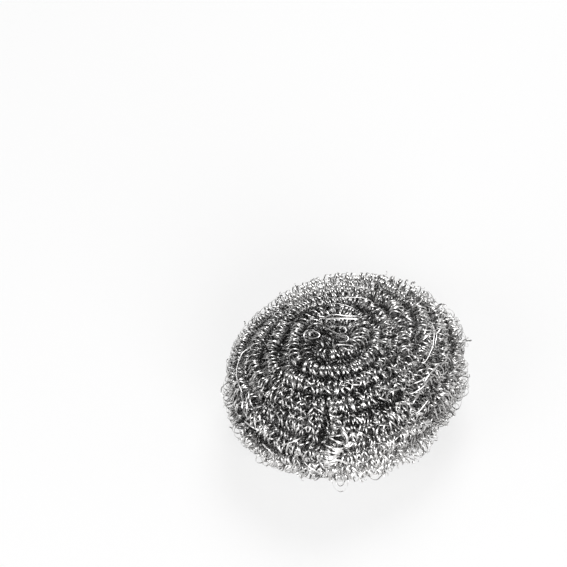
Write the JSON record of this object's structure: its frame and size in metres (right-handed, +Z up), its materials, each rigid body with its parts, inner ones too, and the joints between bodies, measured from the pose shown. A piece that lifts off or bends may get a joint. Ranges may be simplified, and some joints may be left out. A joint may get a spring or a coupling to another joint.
{
  "type": "wire scrubber",
  "caption": "Flattened ball of springy coiled steel wire, wound turn on turn round a small hollow in its crown and pressed flat underneath, for scouring pots and pans.",
  "frame": {"origin": "middle of the box round the ball, at the level of the flat that it rests on", "axes": "+Z up through the crown, +X to the right and -Y to the front, as it is seen from in use"},
  "size_m": [0.0804, 0.0802, 0.0396],
  "materials": {
    "steel_wire": "bright flat-drawn stainless wire, a little uneven along its length"
  },
  "bodies": {
    "root": {"wound_coil": "steel_wire"}
  },
  "joints": []
}
